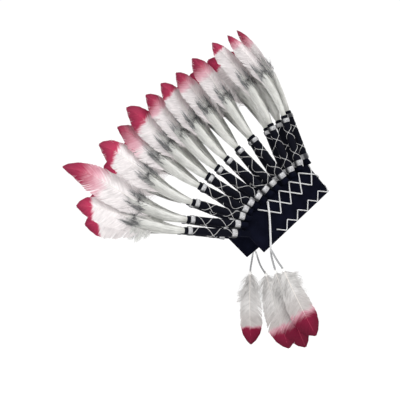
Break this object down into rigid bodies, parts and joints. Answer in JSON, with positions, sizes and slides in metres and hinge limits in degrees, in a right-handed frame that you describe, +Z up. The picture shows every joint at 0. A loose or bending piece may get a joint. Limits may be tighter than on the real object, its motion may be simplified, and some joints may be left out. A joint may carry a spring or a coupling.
{
  "type": "feathered headdress",
  "caption": "Folded felt band with zigzag cord trim that carries a fan of wrapped sleeves, fluffy plumes and dip-dyed feathers, with feather drops at its sides.",
  "frame": {"origin": "middle of the band's lower edge, between its two sides, where a head goes in", "axes": "+Z up as it is held, front faces -Y with the band's front raised, the wearer's right is -X"},
  "size_m": [0.2554, 0.5018, 0.6024],
  "materials": {
    "felt": "dark navy felt, matt",
    "silver_cord": "twisted silver metallic cord",
    "sleeve": "black wrapped sleeve with silver thread and silver rings",
    "plume": "white down and goose feather with crimson dyed tips",
    "drop_feather": "white feather with a crimson dyed tip"
  },
  "bodies": {
    "root": {"band": "felt", "diamond_cord": "silver_cord", "edge_cord": "silver_cord", "sleeve_front": "sleeve", "plume_front": "plume", "sleeve_right_01": "sleeve", "plume_right_01": "plume", "sleeve_left_01": "sleeve", "plume_left_01": "plume", "sleeve_right_02": "sleeve", "plume_right_02": "plume", "sleeve_left_02": "sleeve", "plume_left_02": "plume", "sleeve_right_03": "sleeve", "plume_right_03": "plume", "sleeve_left_03": "sleeve", "plume_left_03": "plume", "sleeve_right_04": "sleeve", "plume_right_04": "plume", "sleeve_left_04": "sleeve", "plume_left_04": "plume", "sleeve_right_05": "sleeve", "plume_right_05": "plume", "sleeve_left_05": "sleeve", "plume_left_05": "plume", "sleeve_right_06": "sleeve", "plume_right_06": "plume", "sleeve_left_06": "sleeve", "plume_left_06": "plume", "sleeve_right_07": "sleeve", "plume_right_07": "plume", "sleeve_left_07": "sleeve", "plume_left_07": "plume", "sleeve_right_08": "sleeve", "plume_right_08": "plume", "sleeve_left_08": "sleeve", "plume_left_08": "plume", "sleeve_right_09": "sleeve", "plume_right_09": "plume", "sleeve_left_09": "sleeve", "plume_left_09": "plume", "sleeve_right_10": "sleeve", "plume_right_10": "plume", "sleeve_left_10": "sleeve", "plume_left_10": "plume", "sleeve_right_11": "sleeve", "plume_right_11": "plume", "sleeve_left_11": "sleeve", "plume_left_11": "plume", "drop_cord_right_long": "silver_cord", "drop_feather_right_long": "drop_feather", "drop_cord_right_short": "silver_cord", "drop_feather_right_short": "drop_feather", "drop_cord_left_long": "silver_cord", "drop_feather_left_long": "drop_feather", "drop_cord_left_short": "silver_cord", "drop_feather_left_short": "drop_feather"}
  },
  "joints": []
}
